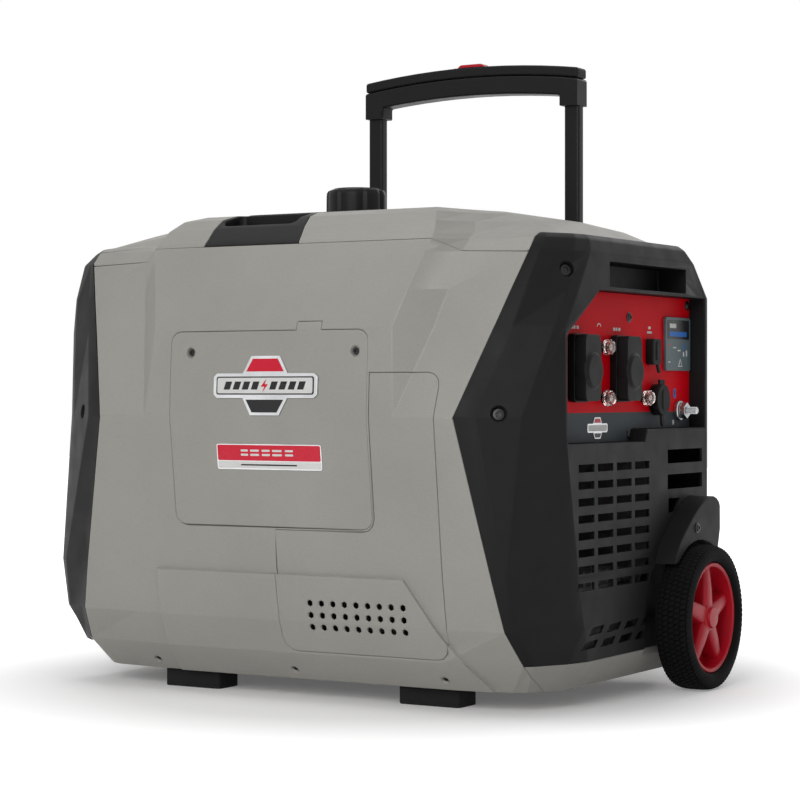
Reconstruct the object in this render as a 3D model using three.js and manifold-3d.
// Portable inverter generator on two wheels, with a pull-out trolley handle.
// Units are millimetres. X runs along the body towards the control panel, Y from the service side to the
// handle side, Z up. The origin is on the ground under the middle of the body.
import * as THREE from 'three';
import { mergeVertices } from 'three/addons/utils/BufferGeometryUtils.js';
import Module from 'manifold-3d';

// ---------------------------------------------------------------- fits
const GAP = 0.3; // between pieces that touch
const RUN = 0.6; // around pieces that slide or turn

// ---------------------------------------------------------------- body
const HALF_LENGTH = 310;
const SIDE_NEAR = -223.5; // the waist line of the service side
const SIDE_FAR = 211;
const TOP = 516;
const BOTTOM = 20;
const WAIST = 298;
const WALL = 3;
const FAR_STEP = 7; // the far cover lies this much inside the end frames
const FAR_FACE = SIDE_FAR - FAR_STEP;
const CHIN_TOP = 50; // the end frames start above this height
const FLANGE_Y = 120; // half width of the tray floor between the two side covers
const FLOOR = BOTTOM + WALL;

// ---------------------------------------------------------------- chassis
const WHEEL_RADIUS = 78.6;
const WHEEL_WIDTH = 40;
const WHEEL_FACE = HALF_LENGTH + 4; // inner face of each wheel
const WHEEL_Y = 121;
const RIM_RADIUS = 60;
const HUB_RADIUS = 15;
const SPOKES = 5;
const AXLE_RADIUS = 7;
const ARCH_RADIUS = WHEEL_RADIUS + 9;
const GUARD_WIDTH = 25;
const GUARD_OUTLINE = [[56, 140], [62, 152], [82, 172], [106, 190], [130, 203], [152, 209], [166, 207],
  [176, 199], [176, 172]];
const FOOT_LENGTH = 74;
const FOOT_DEPTH = 38;
const FOOT_X = 150;
const FOOT_Y = -131;

// ---------------------------------------------------------------- trolley handle
const TUBE_X = 134;
const TUBE_WIDTH = 19.5;
const TUBE_DEPTH = 14;
const GUIDE_WALL = 2.5;
const TUBE_Y = FAR_FACE + GAP + GUIDE_WALL + RUN + TUBE_DEPTH / 2; // the guides lie on the far cover
const GUIDE_BOTTOM = 100;
const GUIDE_TOP = 424;
const TUBE_BOTTOM = 300;
const GRIP_TOP = 711;
const GRIP_UNDERSIDE = 667;
const GRIP_DEPTH = 25;
const GRIP_ARCH = 10; // how much higher the middle is than the ends
const COLLAR_DROP = 10;
const BUTTON_LENGTH = 36;
const TUBE_SEAT = 8; // how far each tube enters the grip

// ---------------------------------------------------------------- front end
const PANEL_FACE = HALF_LENGTH - 19; // outer face of the control panel
const PANEL_THICKNESS = 3;
const PANEL_BACK = PANEL_FACE - PANEL_THICKNESS;
const PANEL = { y0: -113, y1: 190, z0: 271, z1: 428 };
const RAMP_Y = -152; // the recess opens towards the service side as far as this
const CORNER = { y: -76, slope: 0.634 }; // the panel's upper near corner is cut off from here
const LEDGE = { y: 32, height: 13 }; // a step in the recess floor
const LIP = { y0: -64, y1: 106, height: 16, slant: 12, face: PANEL_FACE + 12 };
const SOCKET_WIDTH = 37;
const SOCKET_HEIGHT = 70;
const SOCKET_DEPTH = 8;
const SOCKET_BARREL = 15.5;
const SOCKET_REACH = 20; // behind the panel's face
const SOCKET_Z = 348;
const SOCKET_MARGIN = 0.5; // from the panel's near edge to the first socket
const SOCKET_YS = [PANEL.y0 + SOCKET_MARGIN + SOCKET_WIDTH / 2, 4];
const LID_THICKNESS = 12;
const BREAKER_RADIUS = 8.5;
const BREAKER_TRAVEL = 3;
const BREAKER_DEPTH = 14;
const BREAKERS = [[-30, 370], [-30, 317], [67, 317]];
const USB = { y: 84, z: 367, width: 21, height: 28, depth: 8 };
const DC = { y: 97, z: 315, radius: 17, depth: 11 };
const MODULE = { y0: 120, y1: 186, z0: 347, z1: 406, depth: 3 };
const STUD = { y: 158, z: 303, radius: 4, length: 24 };
const NUT_RADIUS = 9;
const LOUVRES = { rows: 8, columns: 4, y: -107, z: 126.5, pitchY: 44, pitchZ: 17.1, width: 36, height: 8 };
const REAR_SLOTS = { rows: 9, y0: -90, y1: 90, z: 130, pitchZ: 20, height: 9 };
const POCKET = { y0: -54, y1: 138, z0: 431.5, z1: 458, depth: 34 };

// ---------------------------------------------------------------- service side
const UPPER_DOOR = { x0: -126, x1: 120, z0: 183, z1: 387, radius: 12 };
const DOOR_TAB = { x: 48, half: 15, height: 9 };
const LOWER_DOOR = { x0: 0, x1: 198, z0: 53, z1: 343, radius: 14 };
const VENTS = { columns: 9, rows: 3, x: 40, z: 80, pitchX: 14, pitchZ: 12.6, radius: 3.6 };
const BAND = { x0: -155, x1: 154, toe: 232, z: 134, height: 5 };
const EMBLEM = { x: -3, z: 330, width: 130, height: 62, thickness: 3 };
const STRIP = { x: -1, z: 256, width: 131, height: 27, thickness: 2 };

// ---------------------------------------------------------------- top
const CAP = { x: -44, y: 20, radius: 34, height: 38 };
const NECK_RADIUS = 24;
const INSERT = { x0: -108, x1: 62, y0: -112, y1: 62, thickness: 2.5, seat: 1.2 };
const SCOOP = { x0: -109, x1: 4, y0: -190, y1: -118, depth: 38 };

// ---------------------------------------------------------------- engine and alternator
const SHAFT_Y = 10;
const SHAFT_Z = 158;
const SHAFT_RADIUS = 12;
const CRANKCASE = { x0: -62, x1: 58, y0: -58, y1: 78, z1: 222 };
const CYLINDER = { radius: 34, fin: 52, fins: 5, pitch: 17, z0: 222, z1: 312 };
const HEAD_TOP = 352;
const STATOR_RADIUS = 62;
const ROTOR_RADIUS = 78;
const FAN_RADIUS = 88;
const RECOIL = { x0: 168, x1: 190, radius: 94 };
const TANK = { x0: -150, x1: 110, y0: -104, y1: 140, z0: 392, z1: 470, radius: 24 };
const INVERTER = { x0: 200, x1: 268, y0: -92, y1: 84, z1: 118 };
const BATTERY = { x0: -215, x1: -120, y0: -110, y1: -44, height: 96 };
const MUFFLER = { x0: -262, x1: -120, y0: -30, y1: 90, z0: 214, z1: 334, radius: 26 };
const FILTER = { x0: -70, x1: 64, y0: -196, y1: -128, z0: 214, z1: 296, radius: 12 };
const CARB = { z: 262, radius: 18 };
const ROPE_RADIUS = 2.5;
const PULL = { half: 27, radius: 8, depth: 16 };
const DIAL = { x: -40, z: 262, radius: 25, depth: 15 };

// ---------------------------------------------------------------- finishes
function finish(color, roughness, metalness = 0) {
  return new THREE.MeshStandardMaterial({ color, roughness, metalness });
}
const GREY = finish('#8f8d87', 0.55);
const BLACK = finish('#26272a', 0.6);
const SATIN_BLACK = finish('#1b1c1e', 0.45);
const RED = finish('#bb1226', 0.45);
const RUBBER = finish('#1a1a1a', 0.9);
const STEEL = finish('#b4b7ba', 0.35, 1);
const ALUMINIUM = finish('#a7a9ab', 0.5, 1);
const CLEAR = finish('#b9785f', 0.2);
const COPPER = finish('#9a5a34', 0.5, 0.6);

// ================================================================ shape helpers
const wasm = await Module();
wasm.setup();

/** Turns a closed three.js geometry into a solid, with its faces pointing out. */
function solid(geometry) {
  const bare = new THREE.BufferGeometry();
  bare.setAttribute('position', geometry.attributes.position.clone());
  if (geometry.index) bare.setIndex(geometry.index.clone());
  const welded = mergeVertices(bare, 1e-4);
  const at = welded.attributes.position;
  const corners = [0, 1, 2].map(() => new THREE.Vector3());
  const triangles = [];
  let volume = 0;
  for (let i = 0; i < welded.index.count; i += 3) {
    const ids = [0, 1, 2].map((k) => welded.index.getX(i + k));
    if (ids[0] === ids[1] || ids[1] === ids[2] || ids[2] === ids[0]) continue;
    corners.forEach((corner, k) => corner.fromBufferAttribute(at, ids[k]));
    volume += corners[0].dot(corners[1].clone().cross(corners[2]));
    triangles.push(ids);
  }
  if (volume < 0) triangles.forEach((ids) => ids.reverse());
  return new wasm.Manifold(new wasm.Mesh({
    numProp: 3,
    vertProperties: new Float32Array(at.array),
    triVerts: new Uint32Array(triangles.flat()),
  }));
}

/** An outline extruded along an axis. Points are (y, z) for x, (x, z) for y and (x, y) for z. */
function prism(points, axis, from, to) {
  const shape = new THREE.Shape(points.map(([u, v]) => new THREE.Vector2(u, v)));
  const geometry = new THREE.ExtrudeGeometry(shape, { depth: to - from, bevelEnabled: false, steps: 1 });
  const turn = new THREE.Matrix4();
  if (axis === 'x') turn.set(0, 0, 1, from, 1, 0, 0, 0, 0, 1, 0, 0, 0, 0, 0, 1);
  if (axis === 'y') turn.set(1, 0, 0, 0, 0, 0, -1, to, 0, 1, 0, 0, 0, 0, 0, 1);
  if (axis === 'z') turn.makeTranslation(0, 0, from);
  return solid(geometry.applyMatrix4(turn));
}

const block = (x0, x1, y0, y1, z0, z1) => prism([[x0, y0], [x1, y0], [x1, y1], [x0, y1]], 'z', z0, z1);

/** Points round a circle. */
function circle(u, v, radius, count = 24) {
  return Array.from({ length: count }, (_, i) => {
    const angle = (2 * Math.PI * (i + 0.5)) / count;
    return [u + radius * Math.cos(angle), v + radius * Math.sin(angle)];
  });
}

/** Points round a rectangle whose corners are arcs. */
function roundRect(u0, u1, v0, v1, radius, steps = 3) {
  const centres = [[u1 - radius, v1 - radius], [u0 + radius, v1 - radius], [u0 + radius, v0 + radius],
    [u1 - radius, v0 + radius]];
  return centres.flatMap(([u, v], corner) => Array.from({ length: steps + 1 }, (_, i) => {
    const angle = (Math.PI / 2) * (corner + i / steps);
    return [u + radius * Math.cos(angle), v + radius * Math.sin(angle)];
  }));
}

const rod = (axis, radius, from, to, u, v, count = 24) => prism(circle(u, v, radius, count), axis, from, to);

/** A closed profile of [radius, place along the axis], turned about an axis parallel to x, y or z. */
function turned(profile, axis, u, v, count = 32) {
  const geometry = new THREE.LatheGeometry(profile.map(([r, h]) => new THREE.Vector2(r, h)), count);
  const turn = new THREE.Matrix4();
  if (axis === 'x') turn.set(0, 1, 0, 0, 0, 0, 1, u, 1, 0, 0, v, 0, 0, 0, 1);
  if (axis === 'y') turn.set(1, 0, 0, u, 0, 1, 0, 0, 0, 0, 1, v, 0, 0, 0, 1);
  if (axis === 'z') turn.set(0, 0, 1, u, 1, 0, 0, v, 0, 1, 0, 0, 0, 0, 0, 1);
  return solid(geometry.applyMatrix4(turn));
}

/** A closed skin through level outlines with the same number of points, capped by fans about the middle. */
function loft(levels) {
  const count = levels[0].points.length;
  const last = levels.length - 1;
  const places = levels.flatMap(({ z, points }) => points.flatMap(([x, y]) => [x, y, z]));
  places.push(0, 0, levels[0].z, 0, 0, levels[last].z);
  const middle = count * levels.length;
  const faces = [];
  for (let level = 0; level < last; level += 1) {
    for (let i = 0; i < count; i += 1) {
      const a = level * count + i;
      const b = level * count + ((i + 1) % count);
      faces.push(a, b, b + count, a, b + count, a + count);
    }
  }
  for (let i = 0; i < count; i += 1) {
    const next = (i + 1) % count;
    faces.push(middle, next, i, middle + 1, last * count + i, last * count + next);
  }
  const geometry = new THREE.BufferGeometry();
  geometry.setAttribute('position', new THREE.BufferAttribute(new Float32Array(places), 3));
  geometry.setIndex(faces);
  return solid(geometry);
}

const mirrored = (shape) => shape.mirror([1, 0, 0]);
const joined = (shapes) => shapes.reduce((whole, shape) => whole.add(shape));

const generator = new THREE.Group();
generator.name = 'portable_generator';

/** Adds one named piece, with its mesh placed at its own pivot. */
function piece(name, shape, material, pivot = [0, 0, 0]) {
  const mesh = shape.simplify(0.05).getMesh();
  const geometry = new THREE.BufferGeometry();
  geometry.setAttribute('position', new THREE.BufferAttribute(new Float32Array(mesh.vertProperties), 3));
  geometry.setIndex(new THREE.BufferAttribute(new Uint32Array(mesh.triVerts), 1));
  geometry.translate(-pivot[0], -pivot[1], -pivot[2]);
  geometry.computeVertexNormals();
  const node = new THREE.Mesh(geometry, material);
  node.name = name;
  node.position.set(...pivot);
  generator.add(node);
}

// ================================================================ body skin
// Each level outline is half of the body's plan at one height. From the middle of the service side these
// are the raised pad's corner, the flank, the end frame's edge, its chamfer, its inner crease and the nose.
// The rear end frame has a plain corner, which starts at rear, in place of the crease and nose.
const LEVELS = [
  { z: BOTTOM, pad: [150, -158], flank: [186, -158], edge: [250, -152], chamfer: [262, -145], crease: [278, -118],
    nose: [286, -92], rear: -98, far: 168 },
  { z: CHIN_TOP, pad: [152, -183], flank: [189, -183], edge: [272, -172], chamfer: [280, -164], crease: [300, -126],
    nose: [307, -98], rear: -138, far: 190 },
  { z: 85, pad: [153, -197], flank: [190, -197], edge: [263, -195], chamfer: [274, -188], crease: [304, -126],
    nose: [HALF_LENGTH, -112], rear: -166, far: 203 },
  { z: 137, pad: [155, -205.5], flank: [191, -205.5], edge: [252.5, -203], chamfer: [266, -196],
    crease: [302, -138], nose: [HALF_LENGTH, -126], rear: -176, far: SIDE_FAR },
  { z: WAIST, pad: [151, SIDE_NEAR], flank: [160, SIDE_NEAR], edge: [220, SIDE_NEAR], chamfer: [241, -217],
    crease: [283, -194], nose: [HALF_LENGTH, -156], rear: -160, far: SIDE_FAR },
  { z: 389, pad: [148, -219.6], flank: [182, -193], edge: [250.5, -191.5], chamfer: [267, -184],
    crease: [304, -164], nose: [HALF_LENGTH, -154], rear: -157, far: SIDE_FAR },
  { z: 427, pad: [158, -206], flank: [191, -180], edge: [263, -178.5], chamfer: [276, -172], crease: [305, -138],
    nose: [HALF_LENGTH, -124], rear: -152, far: SIDE_FAR },
  { z: 466, pad: [170, -190.5], flank: [199, -166.5], edge: [276, -164.5], chamfer: [285, -158],
    crease: [304, -124], nose: [HALF_LENGTH, -98], rear: -136, far: 172 },
  { z: 479, pad: [174, -185], flank: [201, -156], edge: [276, -153], chamfer: [285, -146], crease: [302, -116],
    nose: [307, -94], rear: -112, far: 156 },
  { z: 484, pad: [173, -181], flank: [201, -148], edge: [274, -144], chamfer: [281, -138], crease: [297, -112],
    nose: [302, -92], rear: -98, far: 149 },
  { z: 485.5, pad: [173, -179], flank: [201, -144], edge: [266, -138], chamfer: [269, -134], crease: [273, -106],
    nose: [275, -88], rear: -88, far: 147 },
  { z: 499, pad: [168, -166], flank: [190, -122], edge: [236, -104], chamfer: [240, -98], crease: [246, -82],
    nose: [250, -66], rear: -66, far: 120 },
  { z: 510, pad: [160, -150], flank: [176, -100], edge: [200, -70], chamfer: [204, -64], crease: [209, -54],
    nose: [212, -42], rear: -42, far: 92 },
  { z: TOP, pad: [146, -126], flank: [156, -84], edge: [168, -50], chamfer: [171, -45], crease: [174, -38],
    nose: [176, -30], rear: -30, far: 66 },
];

const REAR_BULGE = 3;

/** One whole outline, from the half that a level gives. */
function outline(level) {
  const { pad, flank, edge, chamfer, crease, nose, rear, far } = level;
  const cornerX = Math.max(nose[0] - 10, edge[0] + 0.6 * (nose[0] - edge[0]));
  const farHalf = [[nose[0], far - 14], [cornerX, far], [edge[0] + 2, far], [edge[0], far - FAR_STEP]];
  const front = [pad, flank, edge, chamfer, crease, nose, ...farHalf];
  const rearCrease = [(chamfer[0] + 3 * nose[0]) / 4, (chamfer[1] + 3 * rear) / 4 - REAR_BULGE];
  const back = [pad, flank, edge, chamfer, rearCrease, [nose[0], rear], ...farHalf];
  return [...front, ...back.map(([x, y]) => [-x, y]).reverse()];
}

/** An outline moved inwards by a wall. */
function inset(points, wall) {
  return points.map((point, i) => {
    const before = points[(i + points.length - 1) % points.length];
    const after = points[(i + 1) % points.length];
    const normals = [[before, point], [point, after]].map(([from, to]) => {
      const run = new THREE.Vector2(to[0] - from[0], to[1] - from[1]).normalize();
      return new THREE.Vector2(-run.y, run.x);
    });
    const middle = normals[0].clone().add(normals[1]).normalize();
    const reach = wall / Math.max(middle.dot(normals[0]), 0.6);
    return [point[0] + middle.x * reach, point[1] + middle.y * reach];
  });
}

const outerSkin = loft(LEVELS.map((level) => ({ z: level.z, points: outline(level) })));
const CROWN = 484; // above this height the wall is measured downwards as well as inwards
const innerSkin = loft(LEVELS.map((level, i) => ({
  z: i === 0 ? level.z + WALL : level.z - (level.z >= CROWN ? WALL : 0),
  points: inset(outline(level), WALL),
})));

// The low band on the service side stands out from the skin by its own height.
const bandOutline = (shrink) => [[BAND.x0 + shrink, BOTTOM - 1], [BAND.toe - shrink, BOTTOM - 1],
  [BAND.x1 - shrink, BAND.z - shrink], [BAND.x0 + shrink, BAND.z - shrink]];
const bandZone = (shrink) => prism(bandOutline(shrink), 'y', SIDE_NEAR - 1, -150);
const raised = (skin, shrink) => skin.add(skin.translate([0, -BAND.height, 0]).intersect(bandZone(shrink)));
const arch = (radius, inner) => {
  const well = rod('x', radius, inner, WHEEL_FACE + WHEEL_WIDTH, WHEEL_Y, WHEEL_RADIUS, 32);
  return well.add(mirrored(well));
};
const ARCH_INNER = WHEEL_FACE - 12;
const outerBody = raised(outerSkin, 0).subtract(arch(ARCH_RADIUS, ARCH_INNER));
const innerBody = raised(innerSkin, WALL).subtract(arch(ARCH_RADIUS + WALL, ARCH_INNER - WALL));
const shell = outerBody.subtract(innerBody);

// Where the covers meet: the end frames' edge, the top cover's seam and the tray's flange.
const FAR_OUT = 2 * HALF_LENGTH;
const EDGE_LINE = [[272, BOTTOM - 5], [272, CHIN_TOP], [263, 85], [220, WAIST], [275, 466], [275, TOP + 20]];
const SEAM_LINE = [[276, 463.7], [199, 466.6], [174, 479]];

const wing = (line) => [...line, ...line.map(([x, z]) => [-x, z]).reverse()];
const between = (shift) => prism(wing(EDGE_LINE.map(([x, z]) => [x + shift, z])), 'y', -FAR_OUT, FAR_OUT);
const middleZone = between(0);
const endsZone = block(-FAR_OUT, FAR_OUT, -FAR_OUT, FAR_OUT, 0, FAR_OUT).subtract(between(GAP));
const belowSeam = (shift) => {
  const line = [[FAR_OUT, SEAM_LINE[0][1]], ...SEAM_LINE].map(([x, z]) => [x, z + shift]);
  return prism([[-FAR_OUT, 0], [FAR_OUT, 0], ...line, ...line.map(([x, z]) => [-x, z]).reverse()],
    'y', -FAR_OUT, FAR_OUT);
};

// ================================================================ covers
const doorOutline = (door, grow) => roundRect(door.x0 - grow, door.x1 + grow, door.z0 - grow, door.z1 + grow,
  door.radius + grow);
function upperDoorZone(grow) {
  const { x, half, height } = DOOR_TAB;
  const sheet = prism(doorOutline(UPPER_DOOR, grow), 'y', SIDE_NEAR - 10, -120);
  const tab = block(x - half - grow, x + half + grow, SIDE_NEAR - 10, -120, UPPER_DOOR.z1 - 20,
    UPPER_DOOR.z1 + height + grow);
  return sheet.add(tab);
}
const lowerDoorZone = (grow) => prism(doorOutline(LOWER_DOOR, grow), 'y', SIDE_NEAR - 10, -120)
  .subtract(upperDoorZone(2 * GAP + 2 - grow));

const ventAt = (column, row) => [VENTS.x + column * VENTS.pitchX, VENTS.z + row * VENTS.pitchZ];
const ventHoles = joined(Array.from({ length: VENTS.columns * VENTS.rows }, (_, i) => {
  const [x, z] = ventAt(i % VENTS.columns, Math.floor(i / VENTS.columns));
  return rod('y', VENTS.radius, SIDE_NEAR - 10, -150, x, z, 6);
}));

const sideCover = shell.intersect(middleZone).intersect(belowSeam(-GAP));
const nearZone = block(-FAR_OUT, FAR_OUT, -FAR_OUT, -FLANGE_Y, BOTTOM - 1, FAR_OUT);
const farZone = block(-FAR_OUT, FAR_OUT, FLANGE_Y, FAR_OUT, BOTTOM - 1, FAR_OUT);
const keepBig = (shape) => shape.decompose().sort((a, b) => b.volume() - a.volume())[0];

const frontCover = sideCover.intersect(nearZone).subtract(upperDoorZone(GAP)).subtract(lowerDoorZone(GAP));
piece('service_side_cover', keepBig(frontCover), GREY);
piece('service_door_upper', shell.intersect(upperDoorZone(0)), GREY, [0, SIDE_NEAR, UPPER_DOOR.z0]);
piece('service_door_lower', keepBig(shell.intersect(lowerDoorZone(0)).subtract(ventHoles)), GREY,
  [0, SIDE_NEAR, LOWER_DOOR.z0]);

// ---- emblem and name strip lie on the upper door's upright face
const doorFaceAt = (z) => SIDE_NEAR + (z - WAIST) * ((SIDE_NEAR + 219.6) / (WAIST - 389));
const padFace = outerSkin.translate([0, -GAP, 0]);
function badge(points, thickness) {
  const cookie = prism(points, 'y', SIDE_NEAR - 12, SIDE_NEAR + 14);
  return cookie.intersect(outerSkin.translate([0, -thickness - GAP, 0])).subtract(padFace);
}
const halfW = EMBLEM.width / 2;
const halfH = EMBLEM.height / 2;
const BAR = 13; // half height of the emblem's cross bar
const HEXAGON = { flat: 18, shoulder: 28 }; // half widths of the emblem's hexagon, at its top and at the bar
const emblemHalf = [[HEXAGON.flat, -halfH], [HEXAGON.shoulder, -BAR], [halfW, -BAR], [halfW, BAR],
  [HEXAGON.shoulder, BAR], [HEXAGON.flat, halfH]];
const emblemPoints = [...emblemHalf, ...emblemHalf.map(([x, z]) => [-x, z]).reverse()]
  .map(([x, z]) => [x + EMBLEM.x, z + EMBLEM.z]);
piece('door_emblem', badge(emblemPoints, EMBLEM.thickness), STEEL,
  [EMBLEM.x, doorFaceAt(EMBLEM.z), EMBLEM.z]);
const stripPoints = roundRect(STRIP.x - STRIP.width / 2, STRIP.x + STRIP.width / 2,
  STRIP.z - STRIP.height / 2, STRIP.z + STRIP.height / 2, 2, 1);
piece('door_name_strip', badge(stripPoints, STRIP.thickness), RED, [STRIP.x, SIDE_NEAR, STRIP.z]);

// ---- far cover carries the guide tubes, the dial and the recoil handle's eye
const GUIDE = { x: TUBE_WIDTH / 2 + RUN + GUIDE_WALL, y: TUBE_DEPTH / 2 + RUN + GUIDE_WALL };
const ropeZ = SHAFT_Z + RECOIL.radius - 24;
const ropeX = (RECOIL.x0 + RECOIL.x1) / 2;
const farCover = sideCover.intersect(farZone)
  .subtract(rod('y', 2 * ROPE_RADIUS, 150, FAR_OUT, ropeX, ropeZ, 12))
  .subtract(rod('y', 6.5, 150, FAR_OUT, DIAL.x, DIAL.z, 16));
piece('handle_side_cover', farCover, GREY);

// ---- top cover with the insert's seat and the scoop
const SEAT_PLANE = TOP - INSERT.seat;
const INSERT_TOP = SEAT_PLANE + GAP + INSERT.thickness;
const insertZone = (grow) => prism(roundRect(INSERT.x0 - grow, INSERT.x1 + grow, INSERT.y0 - grow,
  INSERT.y1 + grow, 14), 'z', SEAT_PLANE, TOP + 10);
const scoopOutline = (grow) => [[SCOOP.x0 - grow, SCOOP.y0 - 20], [SCOOP.x1 + 14 + grow, SCOOP.y0 - 20],
  [SCOOP.x1 + grow, -150], [SCOOP.x1 - 8 + grow, SCOOP.y1 + grow], [SCOOP.x0 - grow, SCOOP.y1 + grow]];
const scoopZone = (grow) => prism(scoopOutline(grow), 'z', WAIST, TOP + 10);
const neckHole = rod('z', NECK_RADIUS + GAP, 440, TOP + 20, CAP.x, CAP.y, 32);
const topShell = shell.intersect(middleZone)
  .subtract(belowSeam(0))
  .subtract(scoopZone(GAP))
  .subtract(neckHole);
piece('top_cover', keepBig(topShell.subtract(insertZone(GAP).subtract(scoopZone(GAP)))), GREY);
const insertPlate = prism(roundRect(INSERT.x0, INSERT.x1, INSERT.y0, INSERT.y1, 14), 'z', SEAT_PLANE + GAP,
  INSERT_TOP).subtract(neckHole);
piece('top_insert', insertPlate, BLACK);

// ---- carry grip: a bar at the edge of the top with a finger pocket behind it
const gripBody = outerBody.intersect(scoopZone(0)).subtract(belowSeam(0));
const fingerPocket = prism(roundRect(SCOOP.x0 + 6, SCOOP.x1 - 12, -160, SCOOP.y1 - 4, 8), 'z', 484, TOP + 10);
piece('carry_grip', keepBig(gripBody.subtract(fingerPocket)), SATIN_BLACK);

// ================================================================ end frames
const RAMP_GROWTH = 2.2; // the ramp is shallow, so its wall is shifted further to keep its thickness
function panelRecess(grow) {
  const { y0, y1, z0, z1 } = PANEL;
  const ramp = RAMP_Y - RAMP_GROWTH * grow;
  const plan = [[PANEL_BACK, y0 - grow], [PANEL_FACE, y0 - RAMP_GROWTH * grow], [HALF_LENGTH + 1, ramp],
    [FAR_OUT, ramp], [FAR_OUT, y1 + grow], [PANEL_BACK, y1 + grow]];
  const cut = RAMP_Y * 2;
  const top = z1 + grow;
  const front = [[cut, z0 - grow], [LEDGE.y, z0 - grow], [LEDGE.y + 6, z0 + LEDGE.height - grow],
    [FAR_OUT, z0 + LEDGE.height - grow], [FAR_OUT, top], [CORNER.y, top],
    [cut, top - (CORNER.y - cut) * CORNER.slope]];
  return prism(plan, 'z', 0, FAR_OUT).intersect(prism(front, 'x', 0, FAR_OUT));
}
const pocketBox = (grow) => block(HALF_LENGTH - POCKET.depth - grow, FAR_OUT, POCKET.y0 - grow, POCKET.y1 + grow,
  POCKET.z0 - grow, POCKET.z1 + grow);
const axleHole = rod('x', AXLE_RADIUS + RUN, -FAR_OUT, FAR_OUT, WHEEL_Y, WHEEL_RADIUS, 16);
const endFrame = shell.intersect(endsZone)
  .subtract(block(-FAR_OUT, FAR_OUT, -FAR_OUT, FAR_OUT, 0, CHIN_TOP))
  .subtract(axleHole);
const frontHalf = block(0, FAR_OUT, -FAR_OUT, FAR_OUT, 0, FAR_OUT);

const louvres = joined(Array.from({ length: LOUVRES.rows * LOUVRES.columns }, (_, i) => {
  const y = LOUVRES.y + (i % LOUVRES.columns) * LOUVRES.pitchY;
  const z = LOUVRES.z + Math.floor(i / LOUVRES.columns) * LOUVRES.pitchZ;
  return block(HALF_LENGTH - 20, FAR_OUT, y - LOUVRES.width / 2, y + LOUVRES.width / 2, z - LOUVRES.height / 2,
    z + LOUVRES.height / 2);
}));
const SIDE_VENTS = [[90, 182, 246, 261], [90, 182, 218, 234]];
const sideVents = joined(SIDE_VENTS.map(([y0, y1, z0, z1]) => block(HALF_LENGTH - 20, FAR_OUT, y0, y1, z0, z1)));
const lipTop = PANEL.z1 + 1;
const lip = prism([[LIP.y0, lipTop], [LIP.y0 + LIP.slant, PANEL.z1 - LIP.height], [LIP.y1 - LIP.slant,
  PANEL.z1 - LIP.height], [LIP.y1, lipTop]], 'x', PANEL_FACE + GAP, LIP.face);
const recessWalls = panelRecess(WALL).subtract(panelRecess(0)).intersect(outerBody);
const pocketWalls = pocketBox(WALL).subtract(pocketBox(0)).intersect(outerBody);
const frontFrame = endFrame.intersect(frontHalf)
  .add(recessWalls)
  .add(pocketWalls)
  .subtract(panelRecess(0).subtract(lip))
  .subtract(pocketBox(0))
  .subtract(louvres)
  .subtract(sideVents);
piece('front_end_frame', keepBig(frontFrame), BLACK);

const EXHAUST = { y: 30, z: 274, radius: 22 };
const rearSlots = joined(Array.from({ length: REAR_SLOTS.rows }, (_, i) => {
  const z = REAR_SLOTS.z + i * REAR_SLOTS.pitchZ;
  return block(-FAR_OUT, -HALF_LENGTH + 20, REAR_SLOTS.y0, REAR_SLOTS.y1, z - REAR_SLOTS.height / 2,
    z + REAR_SLOTS.height / 2);
}));
const exhaustRing = rod('x', EXHAUST.radius + 8, -HALF_LENGTH, -HALF_LENGTH + WALL, EXHAUST.y, EXHAUST.z, 24);
const exhaustHole = rod('x', EXHAUST.radius + 2, -FAR_OUT, -HALF_LENGTH + 20, EXHAUST.y, EXHAUST.z, 24);
const rearFrame = endFrame.subtract(frontHalf)
  .subtract(rearSlots)
  .add(exhaustRing)
  .subtract(exhaustHole);
piece('rear_end_frame', keepBig(rearFrame), BLACK);

// ================================================================ base
const chin = shell.intersect(endsZone).intersect(block(-FAR_OUT, FAR_OUT, -FAR_OUT, FAR_OUT, 0, CHIN_TOP - GAP));
const trayFloor = shell.intersect(block(-FAR_OUT, FAR_OUT, -FLANGE_Y + GAP, FLANGE_Y - GAP, 0, CHIN_TOP - GAP));
const SADDLE = { x: 262, half: 12, depth: 17 };
const saddleBlock = block(SADDLE.x - SADDLE.half, SADDLE.x + SADDLE.half, FLANGE_Y - 26, FLANGE_Y - GAP,
  BOTTOM + 1, WHEEL_RADIUS + SADDLE.depth)
  .add(block(SADDLE.x - SADDLE.half, SADDLE.x + SADDLE.half, FLANGE_Y - 26, WHEEL_Y + SADDLE.depth,
    WHEEL_RADIUS - SADDLE.depth, WHEEL_RADIUS + SADDLE.depth));
const saddles = saddleBlock.add(mirrored(saddleBlock)).subtract(axleHole);
piece('base_tray', keepBig(chin.add(trayFloor).add(saddles)), GREY);

[1, -1].forEach((side) => {
  const x = side * FOOT_X;
  const foot = prism(roundRect(x - FOOT_LENGTH / 2, x + FOOT_LENGTH / 2, FOOT_Y - FOOT_DEPTH / 2,
    FOOT_Y + FOOT_DEPTH / 2, 5, 2), 'z', 0, BOTTOM - GAP);
  piece(side > 0 ? 'foot_front' : 'foot_rear', foot, RUBBER, [x, FOOT_Y, 0]);
});

// ================================================================ wheels
const AXLE_HALF = WHEEL_FACE + WHEEL_WIDTH - 8;
piece('axle', rod('x', AXLE_RADIUS, -AXLE_HALF, AXLE_HALF, WHEEL_Y, WHEEL_RADIUS, 16), STEEL,
  [0, WHEEL_Y, WHEEL_RADIUS]);

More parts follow.
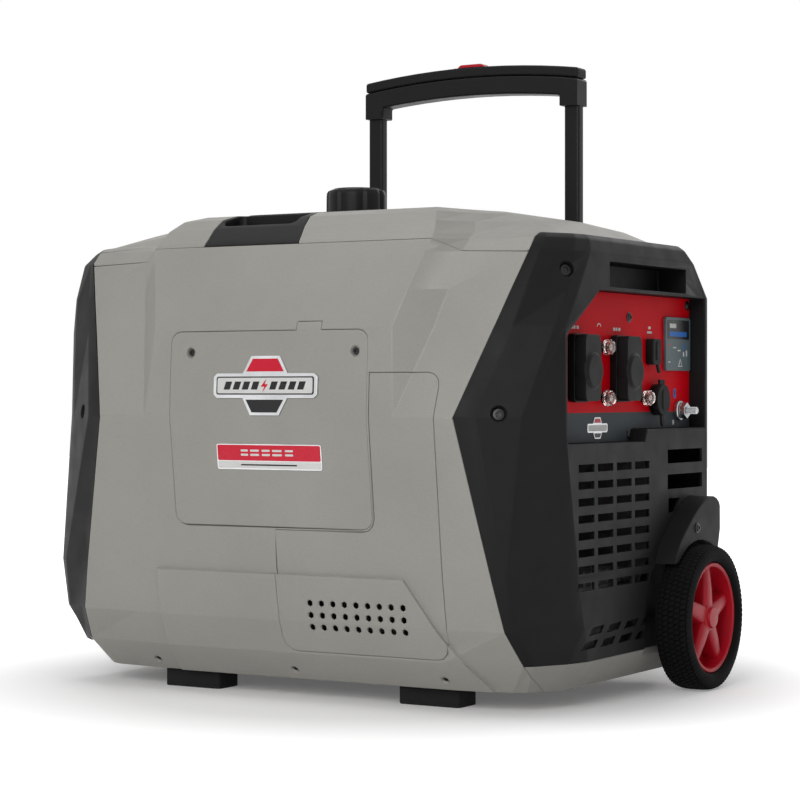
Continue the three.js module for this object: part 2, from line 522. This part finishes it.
function tyre(side) {
  const shoulder = 7;
  const from = WHEEL_FACE;
  const to = WHEEL_FACE + WHEEL_WIDTH;
  const profile = [[RIM_RADIUS + GAP, from + 5], [RIM_RADIUS + 4, from], [WHEEL_RADIUS - shoulder, from],
    [WHEEL_RADIUS, from + shoulder], [WHEEL_RADIUS, to - shoulder], [WHEEL_RADIUS - shoulder, to],
    [RIM_RADIUS + 4, to], [RIM_RADIUS + GAP, to - 5], [RIM_RADIUS + GAP, from + 5]];
  const whole = turned(profile, 'x', WHEEL_Y, WHEEL_RADIUS, 36);
  return side > 0 ? whole : mirrored(whole);
}

function rim(side) {
  const from = WHEEL_FACE + 5;
  const to = WHEEL_FACE + WHEEL_WIDTH - 5;
  const RIM_WALL = 5;
  const barrel = turned([[RIM_RADIUS - RIM_WALL, from], [RIM_RADIUS, from], [RIM_RADIUS, to],
    [RIM_RADIUS - RIM_WALL, to], [RIM_RADIUS - RIM_WALL, from]], 'x', WHEEL_Y, WHEEL_RADIUS, 36);
  const web = turned([[HUB_RADIUS, from + 8], [RIM_RADIUS - 2, from + 8], [RIM_RADIUS - 2, from + 12],
    [HUB_RADIUS, from + 12], [HUB_RADIUS, from + 8]], 'x', WHEEL_Y, WHEEL_RADIUS, 18);
  const hub = rod('x', HUB_RADIUS + 1, WHEEL_FACE + 1, to + 3, WHEEL_Y, WHEEL_RADIUS, 20);
  const cap = rod('x', HUB_RADIUS - 3, to, to + 6, WHEEL_Y, WHEEL_RADIUS, 20);
  const spokes = Array.from({ length: SPOKES }, (_, i) => {
    const angle = Math.PI / 2 + (2 * Math.PI * i) / SPOKES;
    const away = [Math.cos(angle), Math.sin(angle)];
    const across = [-away[1], away[0]];
    const corner = (r, w) => [WHEEL_Y + away[0] * r + across[0] * w, WHEEL_RADIUS + away[1] * r + across[1] * w];
    const reach = RIM_RADIUS - 2;
    const foot = HUB_RADIUS - 2;
    return prism([corner(foot, -6), corner(reach, -11), corner(reach, 11), corner(foot, 6)], 'x', from + 10,
      to - 3);
  });
  const bore = rod('x', AXLE_RADIUS + GAP, 0, AXLE_HALF + GAP, WHEEL_Y, WHEEL_RADIUS, 16);
  const whole = joined([barrel, web, hub, cap, ...spokes]).subtract(bore);
  return side > 0 ? whole : mirrored(whole);
}

[[1, 'front'], [-1, 'rear']].forEach(([side, name]) => {
  const pivot = [side * (WHEEL_FACE + WHEEL_WIDTH / 2), WHEEL_Y, WHEEL_RADIUS];
  piece(`tyre_${name}`, tyre(side), RUBBER, pivot);
  piece(`wheel_rim_${name}`, rim(side), RED, pivot);
  const hood = prism(GUARD_OUTLINE, 'x', HALF_LENGTH + GAP, HALF_LENGTH + GUARD_WIDTH);
  const guard = keepBig(hood.subtract(rod('x', WHEEL_RADIUS + 5, 0, FAR_OUT, WHEEL_Y, WHEEL_RADIUS, 48)));
  piece(`wheel_guard_${name}`, side > 0 ? guard : mirrored(guard), BLACK, [side * HALF_LENGTH, 116, 190]);
});

// ================================================================ trolley handle
[[1, 'front'], [-1, 'rear']].forEach(([side, name]) => {
  const x = side * TUBE_X;
  const outer = block(x - GUIDE.x, x + GUIDE.x, TUBE_Y - GUIDE.y, TUBE_Y + GUIDE.y, GUIDE_BOTTOM, GUIDE_TOP);
  const bore = block(x - TUBE_WIDTH / 2 - RUN, x + TUBE_WIDTH / 2 + RUN, TUBE_Y - TUBE_DEPTH / 2 - RUN,
    TUBE_Y + TUBE_DEPTH / 2 + RUN, GUIDE_BOTTOM - 1, GUIDE_TOP + 1);
  piece(`handle_guide_${name}`, outer.subtract(bore), BLACK, [x, TUBE_Y, GUIDE_BOTTOM]);
  const tube = prism(roundRect(x - TUBE_WIDTH / 2, x + TUBE_WIDTH / 2, TUBE_Y - TUBE_DEPTH / 2,
    TUBE_Y + TUBE_DEPTH / 2, 3, 2), 'z', TUBE_BOTTOM, GRIP_UNDERSIDE + TUBE_SEAT);
  piece(`handle_tube_${name}`, tube, SATIN_BLACK, [x, TUBE_Y, TUBE_BOTTOM]);
});

// The grip is an arched bar with a collar at each end, split into a lower and an upper shell.
const GRIP_HALF = TUBE_X + TUBE_WIDTH / 2 + 0.8;
const SEAM_DROP = 12; // from the grip's top to the line where its shells meet
const archLine = (x, base) => base + GRIP_ARCH * (1 - (x / GRIP_HALF) ** 2);
const archPoints = (base) => Array.from({ length: 13 }, (_, i) => {
  const x = -GRIP_HALF + (2 * GRIP_HALF * i) / 12;
  return [x, archLine(x, base)];
});
const gripSide = (low, high) => [...archPoints(low), ...archPoints(high).reverse()];
const gripEnds = GRIP_TOP - GRIP_ARCH;
const gripY0 = TUBE_Y - GRIP_DEPTH / 2;
const gripY1 = TUBE_Y + GRIP_DEPTH / 2;
const collars = joined([1, -1].map((side) => {
  const inner = side * (TUBE_X - TUBE_WIDTH / 2 - 4);
  const outer = side * GRIP_HALF;
  return block(Math.min(inner, outer), Math.max(inner, outer), gripY0, gripY1, GRIP_UNDERSIDE - COLLAR_DROP,
    gripEnds - SEAM_DROP - 6);
}));
const tubeSeats = joined([1, -1].map((side) => {
  const x = side * TUBE_X;
  return block(x - TUBE_WIDTH / 2 - GAP, x + TUBE_WIDTH / 2 + GAP, TUBE_Y - TUBE_DEPTH / 2 - GAP,
    TUBE_Y + TUBE_DEPTH / 2 + GAP, GRIP_UNDERSIDE - COLLAR_DROP - 1,
    GRIP_UNDERSIDE + TUBE_SEAT + GAP);
}));
const buttonZone = (grow) => block(-BUTTON_LENGTH / 2 - grow, BUTTON_LENGTH / 2 + grow, TUBE_Y - 8 - grow,
  TUBE_Y + 8 + grow, GRIP_TOP - 22 - grow, GRIP_TOP + 10);
const lowerGrip = prism(gripSide(GRIP_UNDERSIDE, gripEnds - SEAM_DROP - GAP), 'y', gripY0, gripY1)
  .add(collars)
  .subtract(tubeSeats)
  .subtract(buttonZone(RUN));
piece('handle_grip_lower', lowerGrip, SATIN_BLACK, [0, TUBE_Y, GRIP_UNDERSIDE]);
const upperGrip = prism(gripSide(gripEnds - SEAM_DROP, gripEnds), 'y', gripY0, gripY1).subtract(buttonZone(RUN));
piece('handle_grip_upper', upperGrip, BLACK, [0, TUBE_Y, GRIP_TOP - SEAM_DROP]);
const BUTTON_TRAVEL = 4;
const buttonEnd = BUTTON_LENGTH / 2;
const buttonFoot = GRIP_TOP - 22 + BUTTON_TRAVEL;
const buttonTop = prism([[-buttonEnd, buttonFoot], [buttonEnd, buttonFoot], [buttonEnd, GRIP_TOP + 1],
  [buttonEnd - 4, GRIP_TOP + BUTTON_TRAVEL], [4 - buttonEnd, GRIP_TOP + BUTTON_TRAVEL],
  [-buttonEnd, GRIP_TOP + 1]], 'y', TUBE_Y - 8, TUBE_Y + 8);
piece('handle_release_button', buttonTop, RED, [0, TUBE_Y, GRIP_TOP]);

// ================================================================ control panel
const seatX = PANEL_FACE + GAP;
const panelSheet = panelRecess(-GAP).intersect(block(PANEL_BACK + GAP, PANEL_FACE, PANEL.y0 + GAP, PANEL.y1, 0,
  FAR_OUT));
const breakerHoles = joined(BREAKERS.map(([y, z]) => rod('x', BREAKER_RADIUS - 3 + RUN, 0, FAR_OUT, y, z, 16)));
const socketHoles = joined(SOCKET_YS.map((y) => rod('x', SOCKET_BARREL + GAP, 0, FAR_OUT, y, SOCKET_Z - 3, 20)));
const studHole = rod('x', STUD.radius + GAP, 0, FAR_OUT, STUD.y, STUD.z, 16);
const panel = panelSheet.subtract(socketHoles).subtract(breakerHoles).subtract(studHole);
piece('control_panel', panel, RED, [PANEL_FACE, 38, 350]);

const BULGE_RADIUS = SOCKET_WIDTH / 2 + 1;
const LID_HINGE_Z = SOCKET_Z + SOCKET_HEIGHT / 2 - 1;
SOCKET_YS.forEach((y, i) => {
  const number = i + 1;
  const wide = SOCKET_WIDTH / 2;
  const high = SOCKET_HEIGHT / 2;
  const face = roundRect(y - wide, y + wide, SOCKET_Z - high, SOCKET_Z + high, 5, 2);
  const barrel = rod('x', SOCKET_BARREL, PANEL_FACE - SOCKET_REACH, seatX + 1, y, SOCKET_Z - 3, 20);
  const well = rod('x', SOCKET_BARREL - WALL, PANEL_FACE - SOCKET_REACH + WALL, FAR_OUT, y, SOCKET_Z - 3, 20);
  const body = prism(face, 'x', seatX, seatX + SOCKET_DEPTH).add(barrel).subtract(well);
  piece(`socket_${number}`, body, SATIN_BLACK, [PANEL_FACE, y, SOCKET_Z]);
  const lidX = seatX + SOCKET_DEPTH + GAP;
  const lidFace = roundRect(y - wide + 1, y + wide - 1, SOCKET_Z - high + 1, SOCKET_Z + high - 1, 5, 2);
  const bulge = turned([[0, lidX + 1], [BULGE_RADIUS, lidX + 1], [BULGE_RADIUS, lidX + LID_THICKNESS],
    [BULGE_RADIUS - 3, lidX + LID_THICKNESS + 3], [0, lidX + LID_THICKNESS + 3]], 'x', y, SOCKET_Z - 3, 24);
  const lid = prism(lidFace, 'x', lidX, lidX + LID_THICKNESS).add(bulge);
  piece(`socket_lid_${number}`, lid, BLACK, [lidX, y, LID_HINGE_Z]);
});

BREAKERS.forEach(([y, z], i) => {
  const stem = rod('x', BREAKER_RADIUS - 3, PANEL_BACK - 8, seatX + BREAKER_TRAVEL + 2, y, z, 16);
  const cap = turned([[0, seatX + BREAKER_TRAVEL], [BREAKER_RADIUS, seatX + BREAKER_TRAVEL],
    [BREAKER_RADIUS, seatX + BREAKER_DEPTH - 3], [BREAKER_RADIUS - 3, seatX + BREAKER_DEPTH],
    [0, seatX + BREAKER_DEPTH]], 'x', y, z, 16);
  piece(`breaker_button_${i + 1}`, stem.add(cap), CLEAR, [seatX, y, z]);
});

const usbFrame = roundRect(USB.y - USB.width / 2, USB.y + USB.width / 2, USB.z - USB.height / 2,
  USB.z + USB.height / 2, 3, 2);
const usbWell = block(seatX + 2, FAR_OUT, USB.y - 9, USB.y + 9, USB.z - 8, USB.z + 8);
piece('usb_socket', prism(usbFrame, 'x', seatX, seatX + 5).subtract(usbWell), SATIN_BLACK,
  [PANEL_FACE, USB.y, USB.z]);
const usbCoverX = seatX + 5 + GAP;
piece('usb_cover', prism(usbFrame, 'x', usbCoverX, usbCoverX + USB.depth - 4), RUBBER,
  [usbCoverX, USB.y, USB.z + USB.height / 2]);
const dcWell = rod('x', 11, seatX + 2, FAR_OUT, DC.y, DC.z, 16);
piece('dc_socket', rod('x', DC.radius, seatX, seatX + 6, DC.y, DC.z, 24).subtract(dcWell), SATIN_BLACK,
  [PANEL_FACE, DC.y, DC.z]);
const dcCoverX = seatX + 6 + GAP;
const dcTail = block(dcCoverX, dcCoverX + 3, DC.y - 6, DC.y + 6, DC.z + DC.radius - 4, DC.z + DC.radius + 5);
piece('dc_cover', rod('x', DC.radius, dcCoverX, dcCoverX + DC.depth - 6, DC.y, DC.z, 24).add(dcTail), RUBBER,
  [dcCoverX, DC.y, DC.z + DC.radius + 4]);
piece('co_module', block(seatX, seatX + MODULE.depth, MODULE.y0, MODULE.y1, MODULE.z0, MODULE.z1), BLACK,
  [PANEL_FACE, (MODULE.y0 + MODULE.y1) / 2, MODULE.z0]);
const NUT = { from: PANEL_FACE + 5, length: 7 };
const studBase = rod('x', NUT_RADIUS + 2, seatX, NUT.from - GAP, STUD.y, STUD.z, 16);
const studPin = rod('x', STUD.radius, PANEL_BACK - 10, PANEL_FACE + STUD.length, STUD.y, STUD.z, 16);
piece('ground_stud', studBase.add(studPin), STEEL, [PANEL_FACE, STUD.y, STUD.z]);
const nut = rod('x', NUT_RADIUS, NUT.from, NUT.from + NUT.length, STUD.y, STUD.z, 6)
  .subtract(rod('x', STUD.radius + GAP, 0, FAR_OUT, STUD.y, STUD.z, 16));
piece('ground_nut', nut, STEEL, [NUT.from, STUD.y, STUD.z]);

// ================================================================ fuel
const TANK_TOP = TANK.z1;
const capSeat = INSERT_TOP + GAP;
const neck = rod('z', NECK_RADIUS, TANK_TOP - 5, capSeat + 8, CAP.x, CAP.y, 32);
const NECK_BORE = NECK_RADIUS - 4;
const tankBody = prism(roundRect(TANK.x0, TANK.x1, TANK.y0, TANK.y1, TANK.radius, 4), 'z', TANK.z0, TANK.z1);
const tankHollow = prism(roundRect(TANK.x0 + WALL, TANK.x1 - WALL, TANK.y0 + WALL, TANK.y1 - WALL,
  TANK.radius - WALL, 4), 'z', TANK.z0 + WALL, TANK.z1 - WALL);
const neckBore = rod('z', NECK_BORE, TANK.z1 - 10, TOP + 40, CAP.x, CAP.y, 32);
const TANK_PAD = { x: [-110, 80], y: [-70, 100], half: 12 };
const crownUnder = innerSkin.translate([0, 0, -GAP]);
const tankPad = (x, y) => block(x - TANK_PAD.half, x + TANK_PAD.half, y - TANK_PAD.half, y + TANK_PAD.half,
  TANK.z1 - 1, TOP).intersect(crownUnder);
const tankPads = joined(TANK_PAD.x.flatMap((x) => TANK_PAD.y.map((y) => tankPad(x, y))));
piece('fuel_tank', tankBody.subtract(tankHollow).add(neck).add(tankPads).subtract(neckBore), BLACK,
  [CAP.x, CAP.y, TANK.z1]);

const plug = turned([[0, TANK_TOP + 4], [NECK_BORE - RUN, TANK_TOP + 4], [NECK_BORE - RUN, capSeat + 8 + GAP],
  [NECK_RADIUS + 2, capSeat + 8 + GAP], [NECK_RADIUS + 2, capSeat + 12], [0, capSeat + 12]], 'z',
  CAP.x, CAP.y, 24);
piece('fuel_cap_plug', plug, BLACK, [CAP.x, CAP.y, capSeat]);
const capPlug = capSeat + 12;
const LOBES = 8;
const knobPoints = Array.from({ length: 6 * LOBES }, (_, i) => {
  const angle = (2 * Math.PI * i) / (6 * LOBES);
  const reach = CAP.radius - 1.6 + 1.6 * Math.cos(LOBES * angle);
  return [CAP.x + reach * Math.cos(angle), CAP.y + reach * Math.sin(angle)];
});
const knobTop = TOP + CAP.height;
const knob = prism(knobPoints, 'z', capSeat + RUN, knobTop - 4)
  .add(rod('z', CAP.radius - 6, knobTop - 6, knobTop, CAP.x, CAP.y, 32))
  .subtract(rod('z', NECK_RADIUS + 2 + RUN, 0, capPlug + GAP, CAP.x, CAP.y, 32));
piece('fuel_cap_knob', knob, SATIN_BLACK, [CAP.x, CAP.y, capSeat]);

// ================================================================ engine and alternator
const shaftBore = rod('x', SHAFT_RADIUS + RUN, -FAR_OUT, FAR_OUT, SHAFT_Y, SHAFT_Z, 24);
const { x0: caseX0, x1: caseX1, y0: caseY0, y1: caseY1, z1: caseTop } = CRANKCASE;
const FOOT_HEIGHT = 20;
const caseBody = block(caseX0, caseX1, caseY0, caseY1, FLOOR + FOOT_HEIGHT, caseTop);
const engineFoot = (x, y) => block(x, x + 24, y, y + 30, FLOOR + GAP, FLOOR + FOOT_HEIGHT + 8);
const engineFeet = joined([caseX0, caseX1 - 24].flatMap((x) => [caseY0 - 14, caseY1 - 16]
  .map((y) => engineFoot(x, y))));
const fins = joined(Array.from({ length: CYLINDER.fins }, (_, i) => {
  const z = CYLINDER.z0 + 6 + i * CYLINDER.pitch;
  return block(-CYLINDER.fin, CYLINDER.fin, SHAFT_Y - CYLINDER.fin, SHAFT_Y + CYLINDER.fin, z, z + 4);
}));
const barrel = rod('z', CYLINDER.radius, caseTop - 2, HEAD_TOP - 10, 0, SHAFT_Y, 24);
const head = block(-CYLINDER.fin, CYLINDER.fin, SHAFT_Y - CYLINDER.fin, SHAFT_Y + CYLINDER.fin, CYLINDER.z1,
  HEAD_TOP);
const throwSpace = rod('x', 52, caseX0 + 18, caseX1 - 18, SHAFT_Y, SHAFT_Z, 24);
const cylinderBore = rod('z', 26, SHAFT_Z, CYLINDER.z1 - 4, 0, SHAFT_Y, 24);
const engineBlock = joined([caseBody, engineFeet, fins, barrel, head]).subtract(throwSpace).subtract(cylinderBore)
  .subtract(shaftBore);
piece('engine_block', engineBlock, ALUMINIUM, [0, SHAFT_Y, SHAFT_Z]);

const THROW = 22;
const pinSpan = 9;
const journals = rod('x', SHAFT_RADIUS, caseX0 - 6, -pinSpan - 6, SHAFT_Y, SHAFT_Z, 24)
  .add(rod('x', SHAFT_RADIUS, pinSpan + 6, RECOIL.x0 - 8, SHAFT_Y, SHAFT_Z, 24));
const web = (x) => prism([[SHAFT_Y - 20, SHAFT_Z - 34], [SHAFT_Y + 20, SHAFT_Z - 34],
  [SHAFT_Y + 14, SHAFT_Z + THROW + 12], [SHAFT_Y - 14, SHAFT_Z + THROW + 12]], 'x', x, x + 10);
const crankPin = rod('x', 9, -pinSpan - 8, pinSpan + 8, SHAFT_Y, SHAFT_Z + THROW, 20);
const shaft = joined([journals, web(-pinSpan - 12), web(pinSpan + 2), crankPin]);
piece('crankshaft', shaft, STEEL, [0, SHAFT_Y, SHAFT_Z]);

const STATOR = { x0: caseX1 + GAP, x1: caseX1 + 42 };
const shaftSeat = rod('x', SHAFT_RADIUS + GAP, 0, FAR_OUT, SHAFT_Y, SHAFT_Z, 24);
const stator = turned([[26, STATOR.x0], [STATOR_RADIUS, STATOR.x0], [STATOR_RADIUS, STATOR.x1], [26, STATOR.x1],
  [26, STATOR.x0]], 'x', SHAFT_Y, SHAFT_Z, 28);
piece('alternator_stator', stator, COPPER, [STATOR.x0, SHAFT_Y, SHAFT_Z]);
const rotorX = STATOR.x1 + 4;
const rotor = turned([[SHAFT_RADIUS + GAP, rotorX], [ROTOR_RADIUS - 10, rotorX],
  [ROTOR_RADIUS - 10, STATOR.x0 + 4], [ROTOR_RADIUS, STATOR.x0 + 4], [ROTOR_RADIUS, rotorX + 6],
  [SHAFT_RADIUS + GAP, rotorX + 6], [SHAFT_RADIUS + GAP, rotorX]], 'x', SHAFT_Y, SHAFT_Z, 28);
piece('flywheel_rotor', rotor, STEEL, [rotorX, SHAFT_Y, SHAFT_Z]);
const fanX = rotorX + 6 + GAP;
const BLADES = 9;
const fanDisc = rod('x', FAN_RADIUS, fanX, fanX + 3, SHAFT_Y, SHAFT_Z, 28)
  .add(rod('x', 24, fanX, fanX + 28, SHAFT_Y, SHAFT_Z, 24));
const blades = joined(Array.from({ length: BLADES }, (_, i) => {
  const angle = (2 * Math.PI * i) / BLADES;
  const at = (r, turn) => [SHAFT_Y + r * Math.cos(angle + turn), SHAFT_Z + r * Math.sin(angle + turn)];
  const outline = [at(40, 0), at(FAN_RADIUS - 1, 0.25), at(FAN_RADIUS - 1, 0.3), at(40, 0.08)];
  return prism(outline, 'x', fanX + 1, fanX + 26);
}));
piece('cooling_fan', fanDisc.add(blades).subtract(shaftSeat), BLACK, [fanX, SHAFT_Y, SHAFT_Z]);

const recoilCase = turned([[0, RECOIL.x1], [RECOIL.radius, RECOIL.x1], [RECOIL.radius, RECOIL.x0],
  [RECOIL.radius - WALL, RECOIL.x0], [RECOIL.radius - WALL, RECOIL.x1 - WALL], [0, RECOIL.x1 - WALL]], 'x', SHAFT_Y,
  SHAFT_Z, 36);
const recoilInside = rod('x', RECOIL.radius - WALL, 0, RECOIL.x1 - WALL, SHAFT_Y, SHAFT_Z, 36);
const recoilFoot = block(RECOIL.x1 - 14, RECOIL.x1, SHAFT_Y - 50, SHAFT_Y + 50, FLOOR + GAP,
  SHAFT_Z - RECOIL.radius + 14).subtract(recoilInside);
const ropeSlot = rod('y', 2 * ROPE_RADIUS, SHAFT_Y + 20, FAR_OUT, ropeX, ropeZ, 12);
piece('recoil_housing', recoilCase.add(recoilFoot).subtract(ropeSlot), BLACK, [RECOIL.x0, SHAFT_Y, SHAFT_Z]);
const pullGrip = block(ropeX - PULL.half, ropeX + PULL.half, FAR_FACE + GAP, FAR_FACE + GAP + PULL.depth,
  ropeZ - PULL.radius, ropeZ + PULL.radius);
const rope = rod('y', ROPE_RADIUS, SHAFT_Y - 50, FAR_FACE + 4, ropeX, ropeZ, 8);
piece('recoil_handle', pullGrip.add(rope), BLACK, [ropeX, FAR_FACE, ropeZ]);

// ---- muffler, intake, electrics
const mufflerBody = prism(roundRect(MUFFLER.y0, MUFFLER.y1, MUFFLER.z0, MUFFLER.z1, MUFFLER.radius, 4), 'x',
  MUFFLER.x0, MUFFLER.x1);
const tailPipe = rod('x', EXHAUST.radius, -HALF_LENGTH + 2, MUFFLER.x0 + 6, EXHAUST.y, EXHAUST.z, 24)
  .subtract(rod('x', EXHAUST.radius - 3, -FAR_OUT, MUFFLER.x0 + 4, EXHAUST.y, EXHAUST.z, 24));
const header = rod('x', 12, MUFFLER.x1 - 4, -CYLINDER.fin - GAP, SHAFT_Y, CYLINDER.z1 + 12, 16);
piece('muffler', mufflerBody.add(tailPipe).add(header), STEEL, [MUFFLER.x0, EXHAUST.y, EXHAUST.z]);

const filterBox = prism(roundRect(FILTER.x0, FILTER.x1, FILTER.z0, FILTER.z1, FILTER.radius), 'y', FILTER.y0,
  FILTER.y1);
piece('air_filter_box', filterBox, BLACK, [FILTER.x0, FILTER.y1, FILTER.z0]);
const intake = rod('y', CARB.radius, FILTER.y1 + GAP, SHAFT_Y - CYLINDER.fin - GAP, 0, CARB.z, 24)
  .add(block(-24, 24, FILTER.y1 + 20, FILTER.y1 + 52, CARB.z - 26, CARB.z + 22));
piece('carburettor', intake, ALUMINIUM, [0, FILTER.y1, CARB.z]);
const inverterBody = block(INVERTER.x0, INVERTER.x1, INVERTER.y0, INVERTER.y1, FLOOR + GAP, INVERTER.z1);
const inverterFins = joined(Array.from({ length: 9 }, (_, i) => {
  const y = INVERTER.y0 + 8 + i * 18;
  return block(INVERTER.x0, INVERTER.x1, y, y + 4, INVERTER.z1 - 1, INVERTER.z1 + 16);
}));
piece('inverter_module', inverterBody.add(inverterFins), ALUMINIUM, [INVERTER.x0, INVERTER.y0, FLOOR]);
const batteryBox = block(BATTERY.x0, BATTERY.x1, BATTERY.y0, BATTERY.y1, FLOOR + GAP, FLOOR + BATTERY.height);
piece('battery', batteryBox, BLACK, [BATTERY.x0, BATTERY.y0, FLOOR]);
const dialFace = FAR_FACE + GAP;
const dialPoints = circle(DIAL.x, DIAL.z, DIAL.radius, 24);
const dialBar = block(DIAL.x - 6, DIAL.x + 6, dialFace + 5, dialFace + DIAL.depth, DIAL.z - DIAL.radius,
  DIAL.z + DIAL.radius);
const dialStem = rod('y', 5, dialFace - 14, dialFace + 2, DIAL.x, DIAL.z, 16);
piece('engine_dial', prism(dialPoints, 'y', dialFace, dialFace + 6).add(dialBar).add(dialStem), SATIN_BLACK,
  [DIAL.x, dialFace, DIAL.z]);

export default generator;
